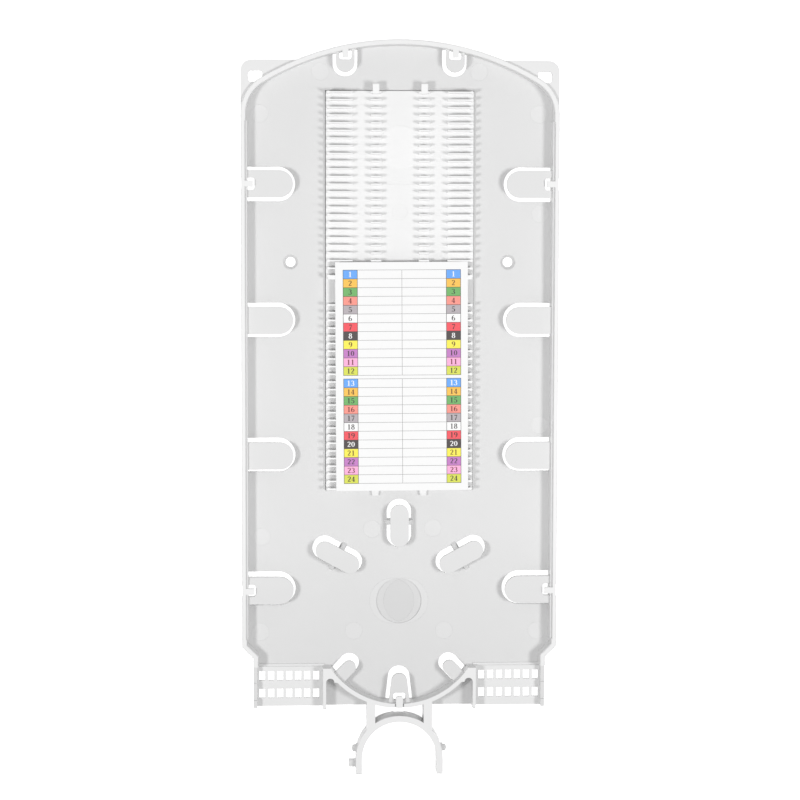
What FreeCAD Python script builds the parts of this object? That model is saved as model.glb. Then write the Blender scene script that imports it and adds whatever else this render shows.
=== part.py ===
import FreeCAD, Part
import math
import os

# Fibre splice tray: one flat moulding with a rim, fibre tabs, cable tie plates and a hinge clip,
# one comb insert with two banks of sleeve slots, and one printed card that lies on the combs.
# Millimetres. +Z is up, +Y points to the arched end, and X = 0 is the centre line.
# Everything is drawn about the centre of the lower bend, then moved so that the whole tray
# stands centred over the origin.

Vector = FreeCAD.Vector
UP = Vector(0, 0, 1)

# How far a cutting shape runs past the face that it cuts
overrun = 1.0

# Rim and floor
half_width = 62.9
corner_radius = 16.0
arch_radius = 107.3
arch_top = 230.75
rim_height = 10.5
rim_thickness = 2.0
rim_chamfer = 0.3
floor_thickness = 2.0
shoulder_y = -10.2
shoulder_inset = 4.45
shoulder_angle = 45.0

# Ledge that a cover would lie on, along the straight sides
ledge_width = 0.45
ledge_rebate = 0.4
ledge_drop = 1.2
ledge_end_gap = 3.0

# Ears behind the arch, with a hanging hole each
ear_top = 222.7
ear_bottom = 196.0
ear_underside = 6.8
ear_thickness = 2.0
ear_corner_radius = 4.3
ear_hole_width = 5.5
ear_hole_height = 4.4
ear_hole_corner = 1.1
ear_hole_x = 57.1
ear_hole_below_top = 6.45

# Tabs that hold the fibre down
tab_thickness = 2.0
tab_top_below_rim = 2.5
side_tab_width = 10.85
side_tab_reach = 20.6
side_tab_first_y = 12.3
side_tab_pitch = 53.97
side_tab_count = 4
side_slot_clearance = 1.37
side_slot_end_clearance = 0.77
arch_tab_x = 21.7
arch_tab_width = 7.4
arch_tab_end_y = 218.0
arch_slot_clearance = 1.2

# Snap noses on the rim, each over a small opening in its tab
nose_width = 2.4
nose_thickness = 1.2
nose_reach = 2.8
nose_set_in = 0.8
nose_opening_width = 4.8
nose_opening_reach = 3.45
nose_opening_corner = 1.1
nose_relief = 0.3
middle_nose_width = 2.8
middle_nose_reach = 3.05
middle_nose_opening_reach = 4.0
middle_nose_opening_near = 0.8
middle_nose_corner = 0.8
middle_nose_slit = 0.35
middle_nose_slit_depth = 1.6

# Lower bend, the wall that the fibre turns round inside
bend_radius = 33.4
bend_wall = 1.65
bend_tab_angle = 46.5
bend_tab_x = 20.1
bend_tab_y = -18.9
bend_tab_width = 5.3
bend_slot_near = 0.9
bend_slot_far = 1.7
bend_slot_end = 1.9
middle_tab_top = -21.5
middle_tab_end_radius = 3.2
middle_tab_root_half = 4.5
middle_slot_side = 1.2
middle_slot_end = 2.0

# Cable tie plates at the fibre entries
entry_edge = -35.35
entry_wall_end = -35.2
entry_wall_height = 8.0
entry_wall_thickness = 1.55
entry_wall_notch = 0.6
entry_wall_notch_depth = 0.9
entry_wall_notch_gap = 7.0
entry_wall_notch_first = 3.35
entry_rib_x = 30.03
entry_rib_thickness = 1.3
entry_rib_end = -35.5
entry_rib_start = -18.9
entry_step_y = -18.3
entry_step_rise = 0.7
entry_step_tread = 0.95
tie_hole_columns = 7
tie_hole_rows = 2
tie_hole_width = 2.4
tie_hole_height = 3.7
tie_hole_pitch_x = 3.62
tie_hole_pitch_y = 7.15
tie_block_x = 44.24
tie_block_y = -26.6
tie_plate_thickness = 1.0
pocket_radius = 1.65
pocket_top = -22.95

# Hinge clip
clip_inner_radius = 15.0
clip_wall = 2.5
clip_centre_y = -55.75
clip_arm_length = 6.45
arm_bevel_depth = 0.6
arm_bevel_drop = 1.0
strut_outer_x = 13.15
strut_width = 3.45
strut_overlap = 3.0
clip_notch_width = 4.0
clip_notch_height = 1.8
pin_diameter = 2.8
pin_reach = 1.65
pin_dome_height = 0.7
pin_foot_diameter = 3.9
pin_y = -52.25
pin_z = 5.2
lug_width = 2.8
lug_reach = 2.85
lug_height = 3.0
lug_y = -57.95
lug_z = 5.0

# Holes and marks in the floor
screw_hole_x = 43.35
screw_hole_y = 143.3
screw_hole_diameter = 3.8
screw_sink_diameter = 6.0
screw_sink_depth = 1.4
dish_y = 7.05
dish_radius = 9.1
dish_depth = 0.5
dish_shift = 2.9
dish_step_depth = 0.08
dish_pad_width = 18.4
dish_pad_length = 23.6
dish_pad_rise = 0.08
mark_radius = 3.45
mark_depth = 0.08
marks_on_both_sides = [(55.6, 202.0), (31.5, 218.6), (55.7, -5.4), (18.2, -5.1)]
marks_on_one_side = [(56.2, 162.6), (56.5, 78.0), (-55.1, 33.2), (-10.9, 36.2), (13.6, 36.5)]

# Islands in front of the lower bend
island_width = 7.4
island_slot_clearance = 1.25
island_rib_thickness = 1.6
island_bridge_width = 2.5
island_plate_shift = 0.4
island_foot_reach = 2.0
island_low_foot_reach = 2.9
island_rib_top = 5.9
island_middle_y = 38.55
island_middle_length = 16.9
island_middle_bridge = 0.6
island_side_x = 24.8
island_side_y = 25.85
island_side_length = 18.9
island_side_bridge = -0.45
island_side_turn = 28.5

# Comb insert
insert_half_width = 29.35
insert_top = 210.97
insert_bottom = 52.07
insert_height = 8.2
insert_wall = 1.4
insert_plate_thickness = 1.4
insert_corner_radius = 0.6
insert_pocket_depth = 1.0
insert_clearance = 0.25
rib_height = 4.3
rib_thickness = 0.55
rib_end_thickness = 1.15
rib_end_taper = 1.7
rib_end_gap = 0.25
rib_lip = 0.18
rib_lip_height = 0.5
slot_count = 24
upper_pitch = 3.012
upper_first_rib = 137.94
upper_end_rib_extra = 1.1
lower_pitch = 3.057
lower_first_rib = 53.07
outer_bank_inner_x = 18.8
inner_bank_outer_x = 11.6
inner_bank_inner_x = 7.4
tongue_x = 9.6
tongue_width = 2.55
tongue_reach = 2.55
nub_width = 3.0
nub_tip_width = 2.3
nub_reach = 2.2
nub_height = 1.8
pad_y = 188.77
pad_radius = 8.5
pad_rise = 0.15
seam_y = 174.64
seam_width = 0.9
seam_half_length = 5.4
seam_depth = 0.2
small_mark_x = 14.8
small_mark_radius = 1.4
small_mark_first_y = 163.1
small_mark_pitch = 21.8
small_mark_count = 3
large_mark_radius = 3.0

# Printed card
card_width = 52.6
card_length = 91.0
card_thickness = 0.25
card_x = 0.79
card_y = 97.97
card_turn = 0.3

# Places that follow from the sizes above
straight_top = arch_top - arch_radius + math.sqrt(
    (arch_radius - corner_radius) ** 2 - (half_width - corner_radius) ** 2)
tab_top = rim_height - tab_top_below_rim
tab_bottom = tab_top - tab_thickness
neck_half = half_width - shoulder_inset
plate_top = insert_height - rib_height
insert_seat = floor_thickness - insert_pocket_depth
entry_plate_top = floor_thickness + 2 * entry_step_rise
clip_end = clip_centre_y - clip_arm_length


def polygon(points):
    """Face inside a closed run of straight lines, given as (x, y) pairs at height 0."""
    corners = [Vector(x, y, 0) for x, y in points]
    return Part.Face(Part.makePolygon(corners + [corners[0]]))


def raised(face, bottom, top):
    """Solid between two heights over a face drawn at height 0."""
    solid = face.extrude(UP * (top - bottom))
    solid.translate(UP * bottom)
    return solid


def block(x0, x1, y0, y1, bottom, top):
    """Plain block between the given limits."""
    return Part.makeBox(x1 - x0, y1 - y0, top - bottom, Vector(x0, y0, bottom))


def disc(x, y, radius, bottom, top):
    """Upright cylinder between two heights."""
    return Part.makeCylinder(radius, top - bottom, Vector(x, y, bottom))


def rounded_block(x, y, width, length, radius, bottom, top):
    """Block centred on x, y with rounded upright edges."""
    wide = block(x - width / 2, x + width / 2, y - length / 2 + radius, y + length / 2 - radius, bottom, top)
    tall = block(x - width / 2 + radius, x + width / 2 - radius, y - length / 2, y + length / 2, bottom, top)
    corners = [disc(x + i * (width / 2 - radius), y + j * (length / 2 - radius), radius, bottom, top)
               for i in (-1, 1) for j in (-1, 1)]
    return wide.fuse([tall] + corners).removeSplitter()


def stadium(length, width, bottom, top):
    """Plate with round ends, its long side along X and its middle at X = 0, Y = 0."""
    reach = (length - width) / 2
    body = block(-reach, reach, -width / 2, width / 2, bottom, top)
    return body.fuse([disc(-reach, 0, width / 2, bottom, top), disc(reach, 0, width / 2, bottom, top)])


def placed(solid, x, y, turn):
    """Solid turned about Z and moved to x, y."""
    solid.rotate(Vector(0, 0, 0), UP, turn)
    solid.translate(Vector(x, y, 0))
    return solid


def mirrored(solid):
    """Copy on the other side of the centre line."""
    return solid.mirror(Vector(0, 0, 0), Vector(1, 0, 0))


def both_sides(solids):
    """The solids and their copies on the other side of the centre line."""
    return solids + [mirrored(solid) for solid in solids]


def tray_outline(inset, height, bottom_y):
    """Closed outline of the tray, moved inwards by inset, at the given height."""
    half = half_width - inset
    neck = neck_half - inset
    lift = inset * math.tan(math.radians(shoulder_angle / 2))
    centre = arch_top - arch_radius
    reach = (half_width - corner_radius) / (arch_radius - corner_radius)
    meet = Vector((arch_radius - inset) * reach,
                  centre + (arch_radius - inset) * math.sqrt(1 - reach ** 2), height)
    middle = math.radians(45) - math.asin(reach) / 2
    knee = Vector(half_width - corner_radius + (corner_radius - inset) * math.cos(middle),
                  straight_top + (corner_radius - inset) * math.sin(middle), height)
    points = [Vector(neck, bottom_y, height),
              Vector(neck, shoulder_y - shoulder_inset + lift, height),
              Vector(half, shoulder_y + lift, height),
              Vector(half, straight_top, height)]
    flip = [Vector(-p.x, p.y, p.z) for p in points + [knee, meet]]
    edges = [Part.makeLine(a, b) for a, b in zip(points, points[1:])]
    edges.append(Part.Arc(points[3], knee, meet).toShape())
    edges.append(Part.Arc(meet, Vector(0, arch_top - inset, height), flip[5]).toShape())
    edges.append(Part.Arc(flip[5], flip[4], flip[3]).toShape())
    edges += [Part.makeLine(a, b) for a, b in zip(flip[3:0:-1], flip[2::-1])]
    edges.append(Part.makeLine(flip[0], points[0]))
    return Part.Wire(edges)


def tray_prism(inset, bottom, top, bottom_y):
    """Solid inside the tray outline between two heights."""
    return Part.Face(tray_outline(inset, bottom, bottom_y)).extrude(UP * (top - bottom))


def tray_taper(inset_low, inset_high, bottom, top, bottom_y):
    """Solid inside the tray outline whose inset changes from one height to the other."""
    low = tray_outline(inset_low, bottom, bottom_y)
    high = tray_outline(inset_high, top, bottom_y)
    return Part.makeLoft([low, high], True, True)


def rim():
    """Wall round the tray down to the entry step, with both top edges chamfered."""
    body_top = rim_height - rim_chamfer
    outside = tray_prism(0, 0, body_top, entry_step_y)
    outside = outside.fuse(tray_taper(0, rim_chamfer, body_top, rim_height, entry_step_y))
    inside = tray_prism(rim_thickness, 0, body_top, entry_step_y - overrun)
    inside = inside.fuse(tray_taper(rim_thickness, rim_thickness - rim_chamfer, body_top, rim_height,
                                    entry_step_y - overrun))
    return outside.cut(inside)


def cover_ledge():
    """Low strip along the inside of one straight side, and the rebate above it."""
    inner = half_width - rim_thickness
    y0 = shoulder_y + ledge_end_gap
    y1 = straight_top - ledge_end_gap
    strip = block(inner - ledge_width, inner + ledge_rebate, y0, y1, 0, rim_height - ledge_drop)
    rebate = block(inner - ledge_width, inner + ledge_rebate, y0, y1, rim_height - ledge_drop, rim_height)
    return strip, rebate


def side_tab_places():
    """Middle of each side tab along Y."""
    return [side_tab_first_y + i * side_tab_pitch for i in range(side_tab_count)]


def side_tab(y):
    """One side tab on the right, from the rim inwards, with its round end."""
    root = half_width - rim_thickness + ledge_rebate
    end = half_width - side_tab_reach
    centre = end + side_tab_width / 2
    bar = block(centre, root, y - side_tab_width / 2, y + side_tab_width / 2, tab_bottom, tab_top)
    return bar.fuse(disc(centre, y, side_tab_width / 2, tab_bottom, tab_top))


def side_slot(y):
    """Opening in the floor under one side tab on the right."""
    root = half_width - rim_thickness - ledge_width
    radius = side_tab_width / 2 + side_slot_clearance
    centre = half_width - side_tab_reach - side_slot_end_clearance + radius
    bar = block(centre, root, y - radius, y + radius, 0, floor_thickness)
    return bar.fuse(disc(centre, y, radius, 0, floor_thickness))


def arch_tab():
    """Tab that hangs from the arch on the right."""
    centre = arch_tab_end_y + arch_tab_width / 2
    bar = block(arch_tab_x - arch_tab_width / 2, arch_tab_x + arch_tab_width / 2, centre, arch_top,
                tab_bottom, tab_top)
    tab = bar.fuse(disc(arch_tab_x, centre, arch_tab_width / 2, tab_bottom, tab_top))
    return tab.common(tray_prism(rim_thickness / 2, tab_bottom, tab_top, 0))


def arch_slot():
    """Opening in the floor under the arch tab on the right."""
    radius = arch_tab_width / 2 + arch_slot_clearance
    centre = arch_tab_end_y + arch_tab_width / 2
    bar = block(arch_tab_x - radius, arch_tab_x + radius, centre, arch_top, 0, floor_thickness)
    slot = bar.fuse(disc(arch_tab_x, centre, radius, 0, floor_thickness))
    return slot.common(tray_prism(rim_thickness, 0, floor_thickness, 0))


def nose_parts(wall, width, reach, opening_near, opening_reach):
    """Snap nose and tab opening for a wall whose inner face is at X = 0 and whose tab points to -X."""
    nose = block(-reach, wall - nose_set_in, -width / 2, width / 2,
                 rim_height - nose_thickness, rim_height)
    opening = rounded_block(-(opening_near + opening_reach) / 2, 0, opening_reach - opening_near,
                            nose_opening_width, nose_opening_corner, tab_bottom, rim_height)
    return nose, opening


def rim_nose_places():
    """X, Y and turn of the snap noses on the right half of the rim."""
    inner = half_width - rim_thickness
    sides = side_tab_places()
    centre = arch_top - arch_radius
    arch_inner = centre + math.sqrt((arch_radius - rim_thickness) ** 2 - arch_tab_x ** 2)
    return [(inner, sides[0], 0), (inner, sides[-1], 0), (arch_tab_x, arch_inner, 90)]


def rim_noses():
    """All snap noses of the rim, the openings beside them and the reliefs outside the wall."""
    inside = tray_prism(rim_thickness + ledge_width, tab_bottom, rim_height, entry_step_y)
    noses = []
    openings = []
    for x, y, turn in rim_nose_places():
        nose, opening = nose_parts(rim_thickness, nose_width, nose_reach, -rim_thickness, nose_opening_reach)
        noses += both_sides([placed(nose, x, y, turn)])
        openings += both_sides([placed(opening, x, y, turn).common(inside)])
    for y in (side_tab_places()[0], side_tab_places()[-1]):
        openings += both_sides([block(half_width - nose_relief, half_width + overrun,
                                      y - nose_opening_width / 2, y + nose_opening_width / 2,
                                      floor_thickness, rim_height)])
    return noses, openings


def middle_nose():
    """Snap nose at the foot of the lower bend, with its opening and the slits beside it in the wall."""
    nose, opening = nose_parts(bend_wall, middle_nose_width, middle_nose_reach, middle_nose_opening_near,
                               middle_nose_opening_reach)
    tip = rounded_block(0, 0, 2 * middle_nose_reach, middle_nose_width, middle_nose_corner,
                        rim_height - nose_thickness, rim_height)
    root = block(0, bend_wall, -middle_nose_width / 2, middle_nose_width / 2,
                 rim_height - nose_thickness, rim_height)
    nose = placed(nose.common(tip.fuse(root)), 0, -bend_radius, -90)
    opening = placed(opening, 0, -bend_radius, -90)
    x = (middle_nose_width + middle_nose_slit) / 2
    slit = block(x - middle_nose_slit / 2, x + middle_nose_slit / 2, -bend_radius - bend_wall, -bend_radius,
                 rim_height - middle_nose_slit_depth, rim_height)
    return nose, [opening] + both_sides([slit])


def bend_tab():
    """Slanted tab on the right of the lower bend, with its slot in the floor."""
    half = bend_tab_width / 2
    length = bend_radius
    tab = block(0, length, -half, half, tab_bottom, tab_top)
    tab = tab.fuse(disc(0, 0, half, tab_bottom, tab_top))
    tab = placed(tab, bend_tab_x, bend_tab_y, -bend_tab_angle)
    tab = tab.common(disc(0, 0, bend_radius + bend_wall / 2, tab_bottom, tab_top))
    near = half + bend_slot_near
    far = half + bend_slot_far
    radius = (near + far) / 2
    slot = block(half + radius - bend_slot_end - bend_tab_width, length, -near, far, 0, floor_thickness)
    slot = slot.fuse(disc(half + radius - bend_slot_end - bend_tab_width, (far - near) / 2, radius,
                          0, floor_thickness))
    slot = placed(slot, bend_tab_x, bend_tab_y, -bend_tab_angle)
    return tab, slot.common(disc(0, 0, bend_radius, 0, floor_thickness))


def middle_tongue(end_y, end_radius, root_half, bottom, top):
    """Tapered tongue with a round end that points up from the foot of the lower bend."""
    centre = end_y - end_radius
    root = -bend_radius
    slope = math.atan2(root_half - end_radius, centre - root)
    side = (end_radius * math.cos(slope), centre + end_radius * math.sin(slope))
    outline = polygon([(side[0], side[1]), (root_half, root - bend_wall), (-root_half, root - bend_wall),
                       (-side[0], side[1])])
    return raised(outline, bottom, top).fuse(disc(0, centre, end_radius, bottom, top))


def bend_wall_ring(radius, bottom, top):
    """Everything inside a circle about the lower bend, up to where the entry ribs start."""
    whole = disc(0, 0, radius, bottom, top)
    return whole.common(block(-radius, radius, -radius, entry_rib_start, bottom, top))


def end_bevel(x0, x1, end_y):
    """Cutter for the steep bevel on the upper edge of an end that faces -Y."""
    low = rim_height - arm_bevel_drop
    profile = [Vector(x0, end_y - overrun, low), Vector(x0, end_y, low),
               Vector(x0, end_y + arm_bevel_depth, rim_height),
               Vector(x0, end_y + arm_bevel_depth, rim_height + overrun),
               Vector(x0, end_y - overrun, rim_height + overrun)]
    return Part.Face(Part.makePolygon(profile + [profile[0]])).extrude(Vector(x1 - x0, 0, 0))


def bend_walls():
    """Curved wall of the lower bend, the ribs beside it and the webs that join them."""
    outer_x = entry_rib_x + entry_rib_thickness / 2
    inner_x = entry_rib_x - entry_rib_thickness / 2
    rib = block(inner_x, outer_x, entry_rib_end, entry_rib_start, 0, rim_height)
    rib = rib.cut(end_bevel(inner_x, outer_x, entry_rib_end))
    web = block(inner_x - 2 * pocket_radius - bend_wall, outer_x, pocket_top - pocket_radius, entry_rib_start,
                0, rim_height)
    centre_x = inner_x - pocket_radius
    pocket = disc(centre_x, pocket_top - pocket_radius, pocket_radius, 0, rim_height)
    pocket = pocket.fuse(block(centre_x - 2 * pocket_radius, inner_x, entry_edge, pocket_top - pocket_radius,
                               0, rim_height))
    ring = bend_wall_ring(bend_radius + bend_wall, 0, rim_height)
    sides = both_sides([web.cut(pocket).fuse(rib)])
    return ring.fuse(sides).cut(bend_wall_ring(bend_radius, 0, rim_height))


def entry_wall():
    """Low wall beside one tie plate, with its small notches."""
    wall = block(neck_half - entry_wall_thickness, neck_half, entry_wall_end, entry_step_y,
                 0, entry_wall_height)
    for i in range(2):
        y = entry_wall_end + entry_wall_notch_first + i * entry_wall_notch_gap
        wall = wall.cut(block(neck_half - entry_wall_thickness, neck_half, y - entry_wall_notch / 2,
                              y + entry_wall_notch / 2, entry_wall_height - entry_wall_notch_depth,
                              entry_wall_height))
    return wall


def tie_plate():
    """Raised floor with rows of tie holes at one entry, and the hollow under it."""
    x0 = entry_rib_x
    x1 = neck_half - entry_wall_thickness / 2
    tread = block(x0, x1, entry_edge, entry_step_y, 0, floor_thickness + entry_step_rise)
    plate = block(x0, x1, entry_edge, entry_step_y - entry_step_tread, 0, entry_plate_top)
    relief = block(x0 + entry_rib_thickness / 2, x1 - entry_wall_thickness / 2, entry_edge,
                   entry_step_y - 2 * entry_step_tread, 0, entry_plate_top - tie_plate_thickness)
    holes = []
    for i in range(tie_hole_columns):
        for j in range(tie_hole_rows):
            x = tie_block_x + (i - (tie_hole_columns - 1) / 2) * tie_hole_pitch_x
            y = tie_block_y + (j - (tie_hole_rows - 1) / 2) * tie_hole_pitch_y
            holes.append(block(x - tie_hole_width / 2, x + tie_hole_width / 2, y - tie_hole_height / 2,
                               y + tie_hole_height / 2, 0, entry_plate_top))
    return tread.fuse(plate), [relief] + holes


def clip_outline(radius, end_y):
    """Half ring with straight arms, filled, about the clip's centre."""
    top = disc(0, clip_centre_y, radius, 0, rim_height)
    arms = block(-radius, radius, end_y, clip_centre_y, 0, rim_height)
    upper = top.common(block(-radius, radius, clip_centre_y, clip_centre_y + radius, 0, rim_height))
    return upper.fuse(arms)


def hinge_pin(root_x, foot_x):
    """Pivot pin on the right arm: square foot, straight shank and domed tip, along +X."""
    along = Vector(1, 0, 0)
    root = Vector(root_x, pin_y, pin_z)
    tip_x = foot_x + pin_reach
    radius = pin_diameter / 2
    ball_radius = (radius ** 2 + pin_dome_height ** 2) / (2 * pin_dome_height)
    ball = Part.makeSphere(ball_radius, Vector(tip_x - ball_radius, pin_y, pin_z))
    tip = Part.makeCylinder(radius, tip_x - root_x, root, along).common(ball)
    shank = Part.makeCylinder(radius, tip_x - pin_dome_height - root_x, root, along)
    foot = Part.makeCylinder(pin_foot_diameter / 2, foot_x - root_x, root, along)
    return shank.fuse([tip, foot])


def hinge_clip():
    """Open clip that snaps over a round post, with its struts, hinge pins and stop lug."""
    outer_radius = clip_inner_radius + clip_wall
    clip = clip_outline(outer_radius, clip_end)
    bevel = end_bevel(-outer_radius - overrun, outer_radius + overrun, clip_end)
    struts = both_sides([block(strut_outer_x - strut_width, strut_outer_x, clip_centre_y,
                               -bend_radius + strut_overlap, 0, rim_height)])
    struts = [strut.cut(disc(0, 0, bend_radius, 0, rim_height)) for strut in struts]
    body = clip.fuse(struts).cut(clip_outline(clip_inner_radius, clip_end - overrun)).cut(bevel)
    notch_y = clip_centre_y + clip_inner_radius
    body = body.cut(block(-clip_notch_width / 2, clip_notch_width / 2, notch_y - overrun,
                          notch_y + clip_wall + overrun, 0, clip_notch_height))
    root_x = clip_inner_radius + clip_wall / 2
    pin = hinge_pin(root_x, outer_radius)
    lug = block(-outer_radius - lug_reach, -root_x, lug_y - lug_width / 2, lug_y + lug_width / 2,
                lug_z, lug_z + lug_height)
    return body.fuse(both_sides([pin]) + [lug])


def island(length, shift, low_foot_reach, x, y, turn):
    """Plate with round ends on a cross rib, with the two floor slots that leave its bridge."""
    plate = placed(stadium(length, island_width, tab_bottom, tab_top), x, y - island_plate_shift, turn)
    top = island_rib_top / 2
    foot = island_width / 2 + island_foot_reach
    low_foot = island_width / 2 + low_foot_reach
    profile = [Vector(0, -low_foot, floor_thickness / 2), Vector(0, -low_foot, floor_thickness),
               Vector(0, -top, tab_bottom + tab_thickness / 2), Vector(0, top, tab_bottom + tab_thickness / 2),
               Vector(0, foot, floor_thickness), Vector(0, foot, floor_thickness / 2)]
    rib = Part.Face(Part.makePolygon(profile + [profile[0]])).extrude(Vector(island_rib_thickness, 0, 0))
    rib.translate(Vector(shift - island_rib_thickness / 2, 0, 0))
    slot = stadium(length + 2 * island_slot_clearance, island_width + 2 * island_slot_clearance,
                   0, floor_thickness)
    slot = slot.cut(block(shift - island_bridge_width / 2, shift + island_bridge_width / 2,
                          -island_width, island_width, 0, floor_thickness))
    return plate.fuse(placed(rib, x, y, turn)), placed(slot, x, y, turn)


def islands():
    """The upright island and the two slanted ones."""
    upright = island(island_middle_length, island_middle_bridge, island_foot_reach, 0, island_middle_y, 90)
    right = island(island_side_length, island_side_bridge, island_low_foot_reach, island_side_x,
                   island_side_y, island_side_turn)
    left = tuple(mirrored(solid) for solid in right)
    return [upright, right, left]


def ears():
    """Flat corners outside the arch, high on its wall, each with a hole that the wall runs past."""
    upper = ear_underside + ear_thickness
    plate = rounded_block(0, (ear_top + ear_bottom) / 2, 2 * half_width, ear_top - ear_bottom,
                          ear_corner_radius, ear_underside, upper)
    hole = rounded_block(ear_hole_x, ear_top - ear_hole_below_top, ear_hole_width, ear_hole_height,
                         ear_hole_corner, ear_underside, upper)
    wall = tray_prism(0, ear_underside, upper, 0)
    holes = [solid.cut(wall) for solid in both_sides([hole])]
    return plate.cut(tray_prism(rim_thickness / 2, ear_underside, upper, 0)), holes


def dish():
    """Round hollow with a lens-shaped step in it, and the low oval pad that it is sunk into."""
    top = floor_thickness
    low = top - dish_depth
    hollow = disc(0, dish_y, dish_radius, low, top)
    step = disc(-dish_shift, dish_y, dish_radius, low - dish_step_depth, low)
    step = step.common(disc(dish_shift, dish_y, dish_radius, low - dish_step_depth, low))
    pad = placed(stadium(dish_pad_length, dish_pad_width, top, top + dish_pad_rise), 0, dish_y, 0)
    return hollow.fuse(step), pad.cut(disc(0, dish_y, dish_radius, top, top + dish_pad_rise))


def mould_marks():
    """Shallow round marks that the mould leaves on the floor."""
    places = marks_on_both_sides + [(-x, y) for x, y in marks_on_both_sides] + marks_on_one_side
    return [disc(x, y, mark_radius, floor_thickness - mark_depth, floor_thickness) for x, y in places]


def screw_holes():
    """Two countersunk holes that fix the tray."""
    hole = disc(screw_hole_x, screw_hole_y, screw_hole_diameter / 2, 0, floor_thickness)
    sink = Part.makeCone(screw_hole_diameter / 2, screw_sink_diameter / 2, screw_sink_depth,
                         Vector(screw_hole_x, screw_hole_y, floor_thickness - screw_sink_depth))
    return both_sides([hole.fuse(sink)])


def tongue_places():
    """Both tongues and both nubs of the insert lie this far from the centre line."""
    return (-tongue_x, tongue_x)


def insert_pocket():
    """Hollow in the floor that takes the insert's foot."""
    gap = insert_clearance
    return block(-insert_half_width - gap, insert_half_width + gap, insert_bottom - gap, insert_top + gap,
                 insert_seat, floor_thickness)


def tray_floor():
    """Flat floor out to the rim and the entry edge, with the notch between the hinge struts."""
    floor = tray_prism(0, 0, floor_thickness, entry_edge)
    window = block(-strut_outer_x, strut_outer_x, entry_edge - overrun, -bend_radius / 2,
                   0, floor_thickness)
    return floor.cut(window.cut(disc(0, 0, bend_radius + bend_wall, 0, floor_thickness)))


def tray_body():
    """The whole tray moulding."""
    ear_plate, ear_holes = ears()
    ledge, rebate = cover_ledge()
    bend, bend_slot = bend_tab()
    plate, plate_cuts = tie_plate()
    adds = [ear_plate, rim(), bend_walls(), hinge_clip()] + both_sides([plate, entry_wall(), ledge])
    cuts = ear_holes + both_sides([rebate, bend_slot] + plate_cuts)
    cuts += screw_holes() + mould_marks() + [insert_pocket()]
    late = both_sides([bend, arch_tab()])
    cuts += both_sides([arch_slot()])
    for y in side_tab_places():
        cuts += both_sides([side_slot(y)])
        late += both_sides([side_tab(y)])
    for solid, slot in islands():
        cuts.append(slot)
        late.append(solid)
    hollow, pad = dish()
    cuts.append(hollow)
    late.append(pad)
    cuts.append(middle_tongue(middle_tab_top + middle_slot_end, middle_tab_end_radius + middle_slot_side,
                              middle_tab_root_half + middle_slot_side, 0, floor_thickness)
                .common(disc(0, 0, bend_radius, 0, floor_thickness)))
    late.append(middle_tongue(middle_tab_top, middle_tab_end_radius, middle_tab_root_half,
                              tab_bottom, tab_top).common(disc(0, 0, bend_radius + bend_wall / 2,
                                                               tab_bottom, tab_top)))
    body = tray_floor().fuse(adds).cut(cuts).fuse(late)
    noses, openings = rim_noses()
    nose, slots = middle_nose()
    return body.cut(openings + slots).fuse(noses + [nose]).removeSplitter()


def outer_rib(y):
    """Rib of an outer bank on the right, thicker where it ends at the insert's side."""
    outer = insert_half_width - rib_end_gap
    half = rib_thickness / 2
    end = rib_end_thickness / 2
    taper = outer - rib_end_taper
    outline = polygon([(outer_bank_inner_x, y - half), (taper, y - half), (outer - end, y - end),
                       (outer, y), (outer - end, y + end), (taper, y + half), (outer_bank_inner_x, y + half)])
    return raised(outline, plate_top, insert_height)


def end_rib():
    """Extra thickness of the first outer rib of the upper bank, on its -Y side."""
    y = upper_first_rib - rib_thickness / 2
    outer = insert_half_width - rib_end_gap - rib_end_thickness / 2
    return block(outer_bank_inner_x, outer, y - upper_end_rib_extra, upper_first_rib, plate_top, insert_height)


def inner_rib(y):
    """Short rib of an inner bank on the right, with a small lip on both sides of its head."""
    half = rib_thickness / 2
    lip = half + rib_lip
    head = insert_height - rib_lip_height
    profile = [Vector(inner_bank_inner_x, y + side, z) for side, z in
               ((-half, plate_top), (-half, head - rib_lip), (-lip, head), (-half, insert_height),
                (half, insert_height), (lip, head), (half, head - rib_lip), (half, plate_top))]
    face = Part.Face(Part.makePolygon(profile + [profile[0]]))
    return face.extrude(Vector(inner_bank_outer_x - inner_bank_inner_x, 0, 0))


def rib_rows():
    """Middle of every rib along Y, the lower bank first."""
    lower = [lower_first_rib + i * lower_pitch for i in range(slot_count + 1)]
    upper = [upper_first_rib + i * upper_pitch for i in range(slot_count + 1)]
    return lower + upper


def insert_shell():
    """Plate of the insert with the wall that carries it, open underneath."""
    length = insert_top - insert_bottom
    middle = (insert_top + insert_bottom) / 2
    shell = rounded_block(0, middle, 2 * insert_half_width, length, insert_corner_radius,
                          insert_seat, plate_top)
    inside = block(-insert_half_width + insert_wall, insert_half_width - insert_wall,
                   insert_bottom + insert_wall, insert_top - insert_wall,
                   insert_seat, plate_top - insert_plate_thickness)
    middle_wall = block(-insert_half_width + insert_wall, insert_half_width - insert_wall,
                        middle - insert_wall / 2, middle + insert_wall / 2,
                        insert_seat, plate_top - insert_plate_thickness)
    return shell.cut(inside).fuse(middle_wall)


def tongue(x):
    """Locating tongue at the upper end of the insert, standing on the tray floor."""
    return block(x - tongue_width / 2, x + tongue_width / 2, insert_top - insert_wall,
                 insert_top + tongue_reach, floor_thickness, insert_height)


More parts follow.
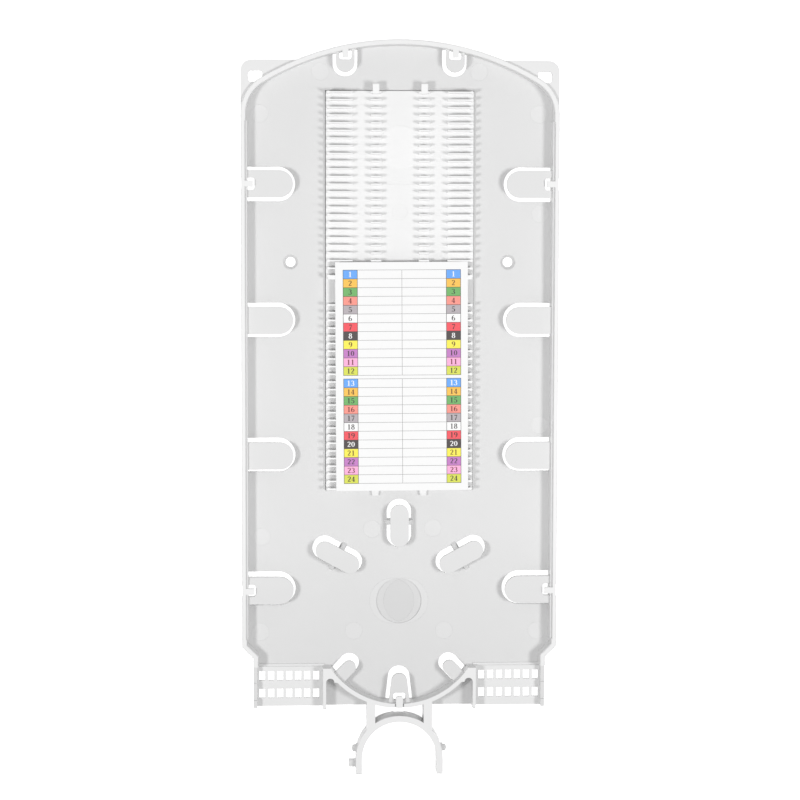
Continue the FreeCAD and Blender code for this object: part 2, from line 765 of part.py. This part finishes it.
def nub(x):
    """Wedge-shaped nub at the lower end of the insert, lying just over the tray floor."""
    outline = polygon([(x - nub_width / 2, insert_bottom + insert_wall), (x - nub_width / 2, insert_bottom),
                       (x - nub_tip_width / 2, insert_bottom - nub_reach),
                       (x + nub_tip_width / 2, insert_bottom - nub_reach),
                       (x + nub_width / 2, insert_bottom), (x + nub_width / 2, insert_bottom + insert_wall)])
    return raised(outline, floor_thickness, floor_thickness + nub_height)


def plate_marks():
    """Shallow round marks and the cross seam on the plate between the ribs of the upper bank."""
    low = plate_top - mark_depth
    marks = [disc(0, small_mark_first_y, large_mark_radius, low, plate_top)]
    for i in range(small_mark_count):
        y = small_mark_first_y + i * small_mark_pitch
        marks += both_sides([disc(small_mark_x, y, small_mark_radius, low, plate_top)])
    seam = block(-seam_half_length, seam_half_length, seam_y - seam_width / 2, seam_y + seam_width / 2,
                 plate_top - seam_depth, plate_top)
    return marks + [seam]


def comb_insert():
    """The comb insert with its two banks of ribs, its tongues and its nubs."""
    ribs = both_sides([end_rib()])
    for y in rib_rows():
        ribs += both_sides([outer_rib(y), inner_rib(y)])
    pad = disc(0, pad_y, pad_radius, plate_top, plate_top + pad_rise)
    extras = [tongue(x) for x in tongue_places()] + [nub(x) for x in tongue_places()] + [pad]
    return insert_shell().cut(plate_marks()).fuse(extras).removeSplitter().fuse(ribs)


def label_card():
    """Printed card that lies flat on the ribs, a little askew."""
    card = block(-card_width / 2, card_width / 2, -card_length / 2, card_length / 2,
                 insert_height, insert_height + card_thickness)
    return placed(card, card_x, card_y, card_turn)


def main():
    nodes = {"tray_body": tray_body(), "comb_insert": comb_insert(), "label_card": label_card()}
    middle = (arch_top + clip_end) / 2
    os.makedirs("parts", exist_ok=True)
    for name, shape in nodes.items():
        shape.translate(Vector(0, -middle, 0))
        solid = shape.Solids[0] if len(shape.Solids) == 1 else shape
        box = solid.BoundBox
        print(name, "solids", len(shape.Solids), "valid", solid.isValid(), "faces", len(solid.Faces),
              "volume %.1f" % solid.Volume,
              "x %.2f %.2f y %.2f %.2f z %.2f %.2f" % (box.XMin, box.XMax, box.YMin, box.YMax,
                                                       box.ZMin, box.ZMax))
        solid.exportStep("parts/%s.step" % name)


main()
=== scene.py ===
import math

import bpy
from mathutils import Euler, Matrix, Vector


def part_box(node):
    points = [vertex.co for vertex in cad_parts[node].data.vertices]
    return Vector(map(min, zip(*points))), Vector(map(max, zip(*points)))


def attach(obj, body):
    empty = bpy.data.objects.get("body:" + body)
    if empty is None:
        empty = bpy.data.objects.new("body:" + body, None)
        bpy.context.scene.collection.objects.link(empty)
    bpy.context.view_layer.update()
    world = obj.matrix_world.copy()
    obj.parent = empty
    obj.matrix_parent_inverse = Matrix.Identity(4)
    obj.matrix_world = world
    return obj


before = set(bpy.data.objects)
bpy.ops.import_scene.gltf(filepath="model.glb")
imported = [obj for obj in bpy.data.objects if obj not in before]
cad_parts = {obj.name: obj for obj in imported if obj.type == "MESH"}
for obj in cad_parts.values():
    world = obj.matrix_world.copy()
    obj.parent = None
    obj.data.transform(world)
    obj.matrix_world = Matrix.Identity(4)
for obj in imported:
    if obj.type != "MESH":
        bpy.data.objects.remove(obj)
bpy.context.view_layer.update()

MM = 0.001

# Camera, at the place that the picture was taken from: turn in radians, lens and sensor in millimetres
CAMERA_PLACE = (-39.5 * MM, 73.0 * MM, 910 * MM)
CAMERA_TURN = (-0.07595, -0.04371, -0.00148)
LENS = 102.4
SENSOR = 36.0
NEAR_CLIP = 0.01

# Two lamps beside the tray, in metres and watts, under an even sky
LAMP_HEIGHT = 0.7
LAMP_ASIDE = 0.36
LAMP_TOWARDS_CLIP = 0.04
LAMP_AIM = (0, 0.1, 0)
LAMP_DIAMETER_LEFT = 0.11
LAMP_DIAMETER_RIGHT = 0.16
LAMP_POWER_LEFT = 1.92
LAMP_POWER_RIGHT = 2.0
SKY_STRENGTH = 0.45

# Floor just below the tray, which shows white to the camera and keeps the tray's shadow
FLOOR_SIZE = 3.0
FLOOR_DROP = 0.02 * MM
FLOOR_TONE = 0.82
FLOOR_ROUGHNESS = 0.9
FLOOR_SPECULAR = 0.1
FLOOR_LIFT = 0.92

# Tones of the plastics as (height in millimetres, tone): the plastic's own colour with painted light and
# shade by height, lighter towards the rim's top and the comb's rib tops, darker at the tops of the tabs
# and at the ledge. The tray's floor is at 2, its tie plates at 3.4, the tops of its tabs at 8, its ledge
# at 9.3 and its rim at 10.5. The comb's plate is at 3.9 and the tops of its ribs are at 8.2.
TONE_TOP = 12.0
TRAY_TONES_AND_PAINTED_LIGHT = [(0.8, 0.72), (1.42, 0.715), (1.5, 0.74), (1.92, 0.805), (2.0, 0.775), (2.08, 0.80),
              (3.4, 0.875), (6.0, 0.86), (7.9, 0.785), (8.1, 0.79), (8.6, 0.87), (9.3, 0.81),
              (10.2, 0.87), (10.5, 0.905)]
COMB_TONES_AND_PAINTED_LIGHT = [(3.7, 0.91), (3.9, 0.92), (4.05, 0.945), (6.0, 0.965), (8.2, 0.975)]
CARD_TONE = 0.96

# The tray's clip end is painted a little darker, a painted shade: where the change starts and ends along Y
PAINTED_SHADE_START = -50 * MM
PAINTED_SHADE_END = -115 * MM
PAINTED_SHADE_SHARE = 0.93

# Surfaces, with the scales of their noise in features per metre
NOISE_LOW = 0.3
NOISE_HIGH = 0.7
CLOUD_SCALE = 28
CLOUD_SHARE = 0.985
GRAIN_SCALE = 3200
GRAIN_DEPTH = 0.003 * MM
WEAR_SCALE = 240
WEAR_DETAIL = 4.0
ROUGHNESS_SPREAD = 0.05
TRAY_ROUGHNESS = 0.42
COMB_ROUGHNESS = 0.36
TRAY_EDGE_RADIUS = 0.12 * MM
COMB_EDGE_RADIUS = 0.08 * MM
PLASTIC_IOR = 1.49
CARD_FIBRE_SCALE = 900
CARD_FIBRE_DETAIL = 6.0
CARD_FIBRE_SHARE = 0.985
CARD_TOOTH_SCALE = 5000
CARD_TOOTH_DETAIL = 3.0
CARD_TOOTH_DEPTH = 0.004 * MM
CARD_ROUGHNESS = (0.55, 0.7)
MOTTLE_SCALE = 1400
MOTTLE_DETAIL = 4.0
MOTTLE_DEPTH = 0.002 * MM
INK_ROUGHNESS = (0.45, 0.6)
INK_PALE_SHARE = 1.06
INK_PALE_LIFT = 0.01

# Printed card, in millimetres about the card's middle. The heights are over the card's face.
PRINT_TURN = math.radians(0.36)
PRINT_MIDDLE_X = 0.15
COLUMN_EDGE_X = 23.31
COLUMN_WIDTH = 5.66
ROW_TOP_Y = 42.39
ROW_PITCH = 3.48
ROWS_IN_BLOCK = 12
BLOCK_GAP = 1.4
LINE_WIDTH = 0.15
BORDER_WIDTH = 0.18
FIELD_HEIGHT = 0.015
LINE_HEIGHT = 0.022
DIGIT_HEIGHT = 0.026
STROKE_STEP = 0.0015
NUMBER_SIZE = 2.15
NUMBER_STRETCH = 1.15
NUMBER_ADVANCE = 0.64
NUMBER_DROP = -0.02

# Strokes of the numbers: widths as shares of the number's height, steps of their curves in degrees
STEM = 0.17
HAIRLINE = 0.06
BAR = 0.11
ARC_STEP = 18
FEWEST_ARC_STEPS = 6
STROKE_CONTRAST = 1.5

# Inks of the row lines and of the fields' borders, as sRGB shares
LINE_INK = (0.58, 0.58, 0.58)
BORDER_INK = (0.24, 0.22, 0.22)

# The twelve fibre colours in their usual order, as sRGB shares, each with the tone of its number
INKS = [
    ("blue", (0.42, 0.67, 0.98), "white"),
    ("orange", (0.98, 0.77, 0.33), "brown"),
    ("green", (0.45, 0.71, 0.41), "dark"),
    ("salmon", (0.98, 0.60, 0.55), "red_brown"),
    ("grey", (0.72, 0.69, 0.71), "dark"),
    ("white", (0.98, 0.98, 0.98), "dark"),
    ("red", (0.96, 0.34, 0.38), "dark"),
    ("black", (0.31, 0.28, 0.28), "white"),
    ("yellow", (0.99, 0.94, 0.34), "brown"),
    ("violet", (0.78, 0.50, 0.78), "dark"),
    ("rose", (0.99, 0.70, 0.86), "red_brown"),
    ("lime", (0.86, 0.88, 0.34), "dark"),
]
NUMBER_INKS = {
    "white": (0.98, 0.98, 0.98),
    "dark": (0.22, 0.20, 0.20),
    "brown": (0.42, 0.27, 0.16),
    "red_brown": (0.45, 0.16, 0.17),
}


def linear(share):
    """Linear light for one sRGB share."""
    if share <= 0.04045:
        return share / 12.92
    return ((share + 0.055) / 1.055) ** 2.4


def paint(colour):
    """Linear colour with alpha for an sRGB colour."""
    return tuple(linear(share) for share in colour) + (1.0,)


def new_material(name):
    """Empty node material with its shader, its node list and its links."""
    material = bpy.data.materials.new(name)
    material.use_nodes = True
    nodes = material.node_tree.nodes
    return material, nodes, material.node_tree.links, nodes["Principled BSDF"]


def noise(nodes, links, place, scale, detail=2.0):
    """Noise texture over the object's own place, scale in features per metre."""
    texture = nodes.new("ShaderNodeTexNoise")
    texture.inputs["Scale"].default_value = scale
    texture.inputs["Detail"].default_value = detail
    links.new(place, texture.inputs["Vector"])
    return texture.outputs["Fac"]


def ramp(nodes, links, value, low, high):
    """Colour between two colours as the value goes over the middle of its range."""
    node = nodes.new("ShaderNodeValToRGB")
    node.color_ramp.elements[0].position = NOISE_LOW
    node.color_ramp.elements[0].color = low
    node.color_ramp.elements[1].position = NOISE_HIGH
    node.color_ramp.elements[1].color = high
    links.new(value, node.inputs["Fac"])
    return node.outputs["Color"]


def remap(nodes, links, value, low, high):
    """Number between low and high as the value goes over the middle of its range."""
    node = nodes.new("ShaderNodeMapRange")
    node.inputs["From Min"].default_value = NOISE_LOW
    node.inputs["From Max"].default_value = NOISE_HIGH
    node.inputs["To Min"].default_value = low
    node.inputs["To Max"].default_value = high
    links.new(value, node.inputs["Value"])
    return node.outputs["Result"]


def bump(nodes, links, height, depth, normal=None):
    """Bump of the given depth in metres."""
    node = nodes.new("ShaderNodeBump")
    node.inputs["Strength"].default_value = 1.0
    node.inputs["Distance"].default_value = depth
    links.new(height, node.inputs["Height"])
    if normal is not None:
        links.new(normal, node.inputs["Normal"])
    return node.outputs["Normal"]


def shade(tone, share=1.0):
    """Neutral colour at a share of the tone."""
    return (tone * share, tone * share, tone * share, 1.0)


def part_of(nodes, links, place, axis):
    """One coordinate of a place."""
    split = nodes.new("ShaderNodeSeparateXYZ")
    links.new(place, split.inputs["Vector"])
    return split.outputs[axis]


def painted_light_by_height(nodes, links, place, tones_and_painted_light):
    """Neutral colour that follows the height over the tray's underside: own tone with painted light and
    shade.
    """
    share = nodes.new("ShaderNodeMath")
    share.operation = "DIVIDE"
    share.inputs[1].default_value = TONE_TOP * MM
    links.new(part_of(nodes, links, place, "Z"), share.inputs[0])
    node = nodes.new("ShaderNodeValToRGB")
    stops = node.color_ramp.elements
    while len(stops) < len(tones_and_painted_light):
        stops.new(1.0)
    for stop, (height, tone) in zip(stops, tones_and_painted_light):
        stop.position = height / TONE_TOP
        stop.color = shade(tone)
    links.new(share.outputs[0], node.inputs["Fac"])
    return node.outputs["Color"]


def painted_shade_along(nodes, links, place, share):
    """Painted shade: a factor that goes from 1 to the share towards the clip end."""
    node = nodes.new("ShaderNodeMapRange")
    node.inputs["From Min"].default_value = PAINTED_SHADE_END
    node.inputs["From Max"].default_value = PAINTED_SHADE_START
    node.inputs["To Min"].default_value = share
    node.inputs["To Max"].default_value = 1.0
    links.new(part_of(nodes, links, place, "Y"), node.inputs["Value"])
    return node.outputs["Result"]


def multiplied(nodes, links, first, second):
    """Product of two colours."""
    node = nodes.new("ShaderNodeVectorMath")
    node.operation = "MULTIPLY"
    links.new(first, node.inputs[0])
    links.new(second, node.inputs[1])
    return node.outputs["Vector"]


def moulded_plastic(name, tones_and_painted_light, end_painted_shade, roughness, edge_radius):
    """Satin moulded plastic with faint flow marks, a fine grain, softened edges and painted light and
    shade.
    """
    material, nodes, links, shader = new_material(name)
    place = nodes.new("ShaderNodeTexCoord").outputs["Object"]
    cloud = noise(nodes, links, place, CLOUD_SCALE)
    grain = noise(nodes, links, place, GRAIN_SCALE)
    wear = noise(nodes, links, place, WEAR_SCALE, WEAR_DETAIL)
    clouded = ramp(nodes, links, cloud, shade(CLOUD_SHARE), shade(1.0))
    # Colour: the plastic's own tone with painted light and shade by height and a painted shade towards the
    # clip end.
    painted_tone = multiplied(nodes, links, painted_light_by_height(nodes, links, place, tones_and_painted_light),
                       painted_shade_along(nodes, links, place, end_painted_shade))
    links.new(multiplied(nodes, links, clouded, painted_tone), shader.inputs["Base Color"])
    links.new(remap(nodes, links, wear, roughness - ROUGHNESS_SPREAD, roughness + ROUGHNESS_SPREAD),
              shader.inputs["Roughness"])
    edge = nodes.new("ShaderNodeBevel")
    edge.samples = 4
    edge.inputs["Radius"].default_value = edge_radius
    links.new(bump(nodes, links, grain, GRAIN_DEPTH, edge.outputs["Normal"]), shader.inputs["Normal"])
    shader.inputs["IOR"].default_value = PLASTIC_IOR
    return material


def card_paper(name, tone):
    """Smooth white card with a faint fibre tone and tooth."""
    material, nodes, links, shader = new_material(name)
    place = nodes.new("ShaderNodeTexCoord").outputs["Object"]
    fibre = noise(nodes, links, place, CARD_FIBRE_SCALE, CARD_FIBRE_DETAIL)
    tooth = noise(nodes, links, place, CARD_TOOTH_SCALE, CARD_TOOTH_DETAIL)
    links.new(ramp(nodes, links, fibre, shade(tone, CARD_FIBRE_SHARE), shade(tone)),
              shader.inputs["Base Color"])
    links.new(remap(nodes, links, tooth, *CARD_ROUGHNESS), shader.inputs["Roughness"])
    links.new(bump(nodes, links, tooth, CARD_TOOTH_DEPTH), shader.inputs["Normal"])
    return material


def print_ink(name, colour):
    """Ink on card: its colour varies a little with the card's fibres."""
    material, nodes, links, shader = new_material(name)
    place = nodes.new("ShaderNodeTexCoord").outputs["Object"]
    mottle = noise(nodes, links, place, MOTTLE_SCALE, MOTTLE_DETAIL)
    full = paint(colour)
    pale = tuple(min(1.0, share * INK_PALE_SHARE + INK_PALE_LIFT) for share in full[:3]) + (1.0,)
    links.new(ramp(nodes, links, mottle, full, pale), shader.inputs["Base Color"])
    links.new(remap(nodes, links, mottle, *INK_ROUGHNESS), shader.inputs["Roughness"])
    links.new(bump(nodes, links, mottle, MOTTLE_DEPTH), shader.inputs["Normal"])
    return material


def dress(node_name, material):
    """Give a carried-over node its material."""
    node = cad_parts[node_name]
    node.data.materials.clear()
    node.data.materials.append(material)


def print_frame():
    """Middle of the card's top face and the card's own X and Y directions."""
    low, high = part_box("label_card")
    middle = Vector(((low.x + high.x) / 2, (low.y + high.y) / 2, high.z))
    across = Vector((math.cos(PRINT_TURN), math.sin(PRINT_TURN), 0))
    along = Vector((-math.sin(PRINT_TURN), math.cos(PRINT_TURN), 0))
    return middle, across, along


class Sheet:
    """Flat faces printed on the card, gathered into one mesh."""

    def __init__(self, height):
        self.middle, self.across, self.along = print_frame()
        self.height = height
        self.points = []
        self.faces = []
        self.inks = []

    def add(self, corners, ink=0, lift=0.0):
        """One face from corners in millimetres about the card's middle."""
        start = len(self.points)
        for x, y in corners:
            flat = self.across * ((x + PRINT_MIDDLE_X) * MM) + self.along * (y * MM)
            self.points.append(self.middle + flat + Vector((0, 0, (self.height + lift) * MM)))
        self.faces.append(list(range(start, start + len(corners))))
        self.inks.append(ink)

    def bar(self, x0, x1, y0, y1, ink=0):
        """Rectangle between the given limits."""
        self.add([(x0, y0), (x1, y0), (x1, y1), (x0, y1)], ink)

    def finish(self, name, materials):
        """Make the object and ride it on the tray."""
        mesh = bpy.data.meshes.new(name)
        mesh.from_pydata(self.points, [], self.faces)
        for material in materials:
            mesh.materials.append(material)
        for face, ink in zip(mesh.polygons, self.inks):
            face.material_index = ink
        mesh.update()
        piece = bpy.data.objects.new(name, mesh)
        bpy.context.scene.collection.objects.link(piece)
        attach(piece, "root")


def row_top(row):
    """Upper edge of a row, counted from 0 at the top of the card."""
    return ROW_TOP_Y - row * ROW_PITCH - (BLOCK_GAP if row >= ROWS_IN_BLOCK else 0)


def column_limits(side):
    """Lowest and highest X of the left (-1) or right (1) colour column."""
    outer = side * COLUMN_EDGE_X
    inner = side * (COLUMN_EDGE_X - COLUMN_WIDTH)
    return min(outer, inner), max(outer, inner)


def colour_fields():
    """Two columns of colour fields."""
    sheet = Sheet(FIELD_HEIGHT)
    for row in range(2 * ROWS_IN_BLOCK):
        for side in (-1, 1):
            x0, x1 = column_limits(side)
            sheet.bar(x0, x1, row_top(row) - ROW_PITCH, row_top(row), row % ROWS_IN_BLOCK)
    materials = [print_ink("ink_" + name, colour) for name, colour, _ in INKS]
    sheet.finish("card_colour_fields", materials)


def ruled_lines():
    """Grey row lines and centre line, and a dark border round each colour field."""
    sheet = Sheet(LINE_HEIGHT)
    half = LINE_WIDTH / 2
    edge = BORDER_WIDTH / 2
    for block in range(2):
        first = block * ROWS_IN_BLOCK
        top = row_top(first)
        bottom = row_top(first + ROWS_IN_BLOCK - 1) - ROW_PITCH
        sheet.bar(-half, half, bottom, top)
        for side in (-1, 1):
            x0, x1 = column_limits(side)
            inner = min(abs(x0), abs(x1)) - edge
            for step in range(ROWS_IN_BLOCK + 1):
                y = top - step * ROW_PITCH
                ends = sorted((side * half, side * inner))
                sheet.bar(ends[0], ends[1], y - half, y + half)
                sheet.bar(x0 + edge, x1 - edge, y - edge, y + edge, 1)
            for x in (x0, x1):
                sheet.bar(x - edge, x + edge, bottom - edge, top + edge, 1)
    materials = [print_ink("ink_line", LINE_INK), print_ink("ink_border", BORDER_INK)]
    sheet.finish("card_ruled_lines", materials)


def line_stroke(x0, y0, x1, y1, w0, w1=None):
    """Straight stroke of a digit: two ends with their widths."""
    return [(x0, y0, w0), (x1, y1, w0 if w1 is None else w1)]


def arc_stroke(x, y, rx, ry, start, end):
    """Curved stroke of a digit, thick where it runs upright and thin where it runs level."""
    steps = max(FEWEST_ARC_STEPS, int(abs(end - start) / ARC_STEP))
    points = []
    for i in range(steps + 1):
        angle = math.radians(start + (end - start) * i / steps)
        weight = abs(math.cos(angle)) ** STROKE_CONTRAST
        width = HAIRLINE + (STEM - HAIRLINE) * weight
        points.append((x + rx * math.cos(angle), y + ry * math.sin(angle), width))
    return points


def digit_strokes():
    """Strokes of the ten digits on a field 0.6 wide and 1 high, with thick stems and thin hairlines."""
    return {
        "0": [arc_stroke(0.3, 0.5, 0.2, 0.43, 0, 360)],
        "1": [line_stroke(0.32, 0.04, 0.32, 0.97, STEM), line_stroke(0.14, 0.83, 0.3, 0.94, HAIRLINE),
              line_stroke(0.13, 0.04, 0.51, 0.04, HAIRLINE)],
        "2": [arc_stroke(0.29, 0.71, 0.19, 0.24, 165, -35),
              line_stroke(0.44, 0.57, 0.1, 0.12, STEM, HAIRLINE),
              line_stroke(0.08, 0.1, 0.53, 0.1, 0.15, BAR)],
        "3": [arc_stroke(0.26, 0.73, 0.19, 0.21, 150, -90), arc_stroke(0.26, 0.28, 0.23, 0.24, 90, -155)],
        "4": [line_stroke(0.38, 0.96, 0.05, 0.3, HAIRLINE), line_stroke(0.03, 0.29, 0.58, 0.29, BAR * 0.8),
              line_stroke(0.39, 0.96, 0.39, 0.04, STEM), line_stroke(0.24, 0.04, 0.55, 0.04, HAIRLINE)],
        "5": [line_stroke(0.14, 0.91, 0.5, 0.91, 0.14), line_stroke(0.13, 0.9, 0.11, 0.56, HAIRLINE),
              arc_stroke(0.26, 0.31, 0.23, 0.27, 125, -150)],
        "6": [arc_stroke(0.3, 0.29, 0.2, 0.25, 0, 360), arc_stroke(0.44, 0.4, 0.35, 0.54, 185, 95)],
        "7": [line_stroke(0.08, 0.89, 0.54, 0.89, 0.15),
              line_stroke(0.52, 0.86, 0.24, 0.03, HAIRLINE, STEM)],
        "8": [arc_stroke(0.3, 0.74, 0.16, 0.2, 0, 360), arc_stroke(0.3, 0.27, 0.2, 0.24, 0, 360)],
        "9": [arc_stroke(0.3, 0.69, 0.2, 0.25, 0, 360), arc_stroke(0.16, 0.58, 0.35, 0.54, 5, -85)],
    }


def ribbon(points):
    """Four-cornered faces along a stroke, with its widths."""
    sides = []
    for i, (x, y, width) in enumerate(points):
        before = points[max(i - 1, 0)]
        after = points[min(i + 1, len(points) - 1)]
        dx, dy = after[0] - before[0], after[1] - before[1]
        if i in (0, len(points) - 1) and math.dist(points[0][:2], points[-1][:2]) < 1e-6:
            dx, dy = points[1][0] - points[-2][0], points[1][1] - points[-2][1]
        length = math.hypot(dx, dy)
        nx, ny = -dy / length * width / 2, dx / length * width / 2
        sides.append(((x + nx, y + ny), (x - nx, y - ny)))
    return [(a[1], b[1], b[0], a[0]) for a, b in zip(sides, sides[1:])]


def numbers():
    """The row numbers on both colour columns."""
    sheet = Sheet(DIGIT_HEIGHT)
    strokes = digit_strokes()
    ink_names = list(NUMBER_INKS)
    for row in range(2 * ROWS_IN_BLOCK):
        ink = ink_names.index(INKS[row % ROWS_IN_BLOCK][2])
        text = str(row + 1)
        y = row_top(row) - ROW_PITCH / 2 - NUMBER_SIZE * (0.5 + NUMBER_DROP)
        for side in (-1, 1):
            width = NUMBER_SIZE * NUMBER_STRETCH
            x = sum(column_limits(side)) / 2 - width * NUMBER_ADVANCE * len(text) / 2
            for place, letter in enumerate(text):
                left = x + place * width * NUMBER_ADVANCE
                for layer, stroke in enumerate(strokes[letter]):
                    for face in ribbon(stroke):
                        corners = [(left + u * width, y + v * NUMBER_SIZE) for u, v in face]
                        sheet.add(corners, ink, layer * STROKE_STEP)
    materials = [print_ink("ink_number_" + name, colour) for name, colour in NUMBER_INKS.items()]
    sheet.finish("card_numbers", materials)


def white_floor():
    """Pale floor under the tray that shows white and keeps the tray's shadow."""
    half = FLOOR_SIZE / 2
    mesh = bpy.data.meshes.new("floor")
    corners = [(-half, -half, 0), (half, -half, 0), (half, half, 0), (-half, half, 0)]
    mesh.from_pydata(corners, [], [(0, 1, 2, 3)])
    floor = bpy.data.objects.new("floor", mesh)
    floor.location.z = -FLOOR_DROP
    bpy.context.scene.collection.objects.link(floor)
    material, nodes, links, shader = new_material("floor_white")
    shader.inputs["Base Color"].default_value = shade(FLOOR_TONE)
    shader.inputs["Roughness"].default_value = FLOOR_ROUGHNESS
    shader.inputs["Specular IOR Level"].default_value = FLOOR_SPECULAR
    glow = nodes.new("ShaderNodeEmission")
    path = nodes.new("ShaderNodeLightPath")
    seen = path.outputs["Is Camera Ray"]
    for other in ("Is Glossy Ray", "Is Transmission Ray"):
        either = nodes.new("ShaderNodeMath")
        either.operation = "MAXIMUM"
        links.new(seen, either.inputs[0])
        links.new(path.outputs[other], either.inputs[1])
        seen = either.outputs[0]
    strength = nodes.new("ShaderNodeMath")
    strength.operation = "MULTIPLY"
    strength.inputs[1].default_value = FLOOR_LIFT
    links.new(seen, strength.inputs[0])
    links.new(strength.outputs[0], glow.inputs["Strength"])
    both = nodes.new("ShaderNodeAddShader")
    links.new(shader.outputs[0], both.inputs[0])
    links.new(glow.outputs[0], both.inputs[1])
    links.new(both.outputs[0], nodes["Material Output"].inputs["Surface"])
    mesh.materials.append(material)


def sky():
    """Even grey light from all round, seen as white."""
    world = bpy.data.worlds.new("sky")
    world.use_nodes = True
    nodes, links = world.node_tree.nodes, world.node_tree.links
    light = nodes["Background"]
    light.inputs["Color"].default_value = (1, 1, 1, 1)
    path = nodes.new("ShaderNodeLightPath")
    strength = nodes.new("ShaderNodeMapRange")
    strength.inputs["To Min"].default_value = SKY_STRENGTH
    strength.inputs["To Max"].default_value = 1.0
    links.new(path.outputs["Is Camera Ray"], strength.inputs["Value"])
    links.new(strength.outputs["Result"], light.inputs["Strength"])
    bpy.context.scene.world = world


def lamp(name, side, diameter, power):
    """Soft lamp beside the tray, aimed between its middle and its arched end."""
    data = bpy.data.lights.new(name, "AREA")
    data.shape = "DISK"
    data.size = diameter
    data.energy = power
    light = bpy.data.objects.new(name, data)
    light.location = (side * LAMP_ASIDE, -LAMP_TOWARDS_CLIP, LAMP_HEIGHT)
    light.rotation_euler = (Vector(LAMP_AIM) - light.location).to_track_quat("-Z", "Y").to_euler()
    bpy.context.scene.collection.objects.link(light)


def camera():
    """Camera over the tray, where the picture was taken from."""
    data = bpy.data.cameras.new("camera")
    data.lens = LENS
    data.sensor_width = SENSOR
    data.clip_start = NEAR_CLIP
    view = bpy.data.objects.new("camera", data)
    view.location = CAMERA_PLACE
    view.rotation_mode = "ZYX"
    view.rotation_euler = Euler(CAMERA_TURN, "ZYX")
    bpy.context.scene.collection.objects.link(view)
    bpy.context.scene.camera = view


def main():
    """Set up the stage, give the solids their materials and print the card."""
    camera()
    sky()
    lamp("lamp_left", -1, LAMP_DIAMETER_LEFT, LAMP_POWER_LEFT)
    lamp("lamp_right", 1, LAMP_DIAMETER_RIGHT, LAMP_POWER_RIGHT)
    white_floor()
    # The tray gets a painted shade towards its clip end; the comb gets none.
    tray = moulded_plastic("tray_satin", TRAY_TONES_AND_PAINTED_LIGHT, PAINTED_SHADE_SHARE, TRAY_ROUGHNESS, TRAY_EDGE_RADIUS)
    comb = moulded_plastic("comb_satin", COMB_TONES_AND_PAINTED_LIGHT, 1.0, COMB_ROUGHNESS, COMB_EDGE_RADIUS)
    dress("tray_body", tray)
    dress("comb_insert", comb)
    dress("label_card", card_paper("card_white", CARD_TONE))
    colour_fields()
    ruled_lines()
    numbers()
    bpy.context.scene.view_settings.view_transform = "Standard"


main()
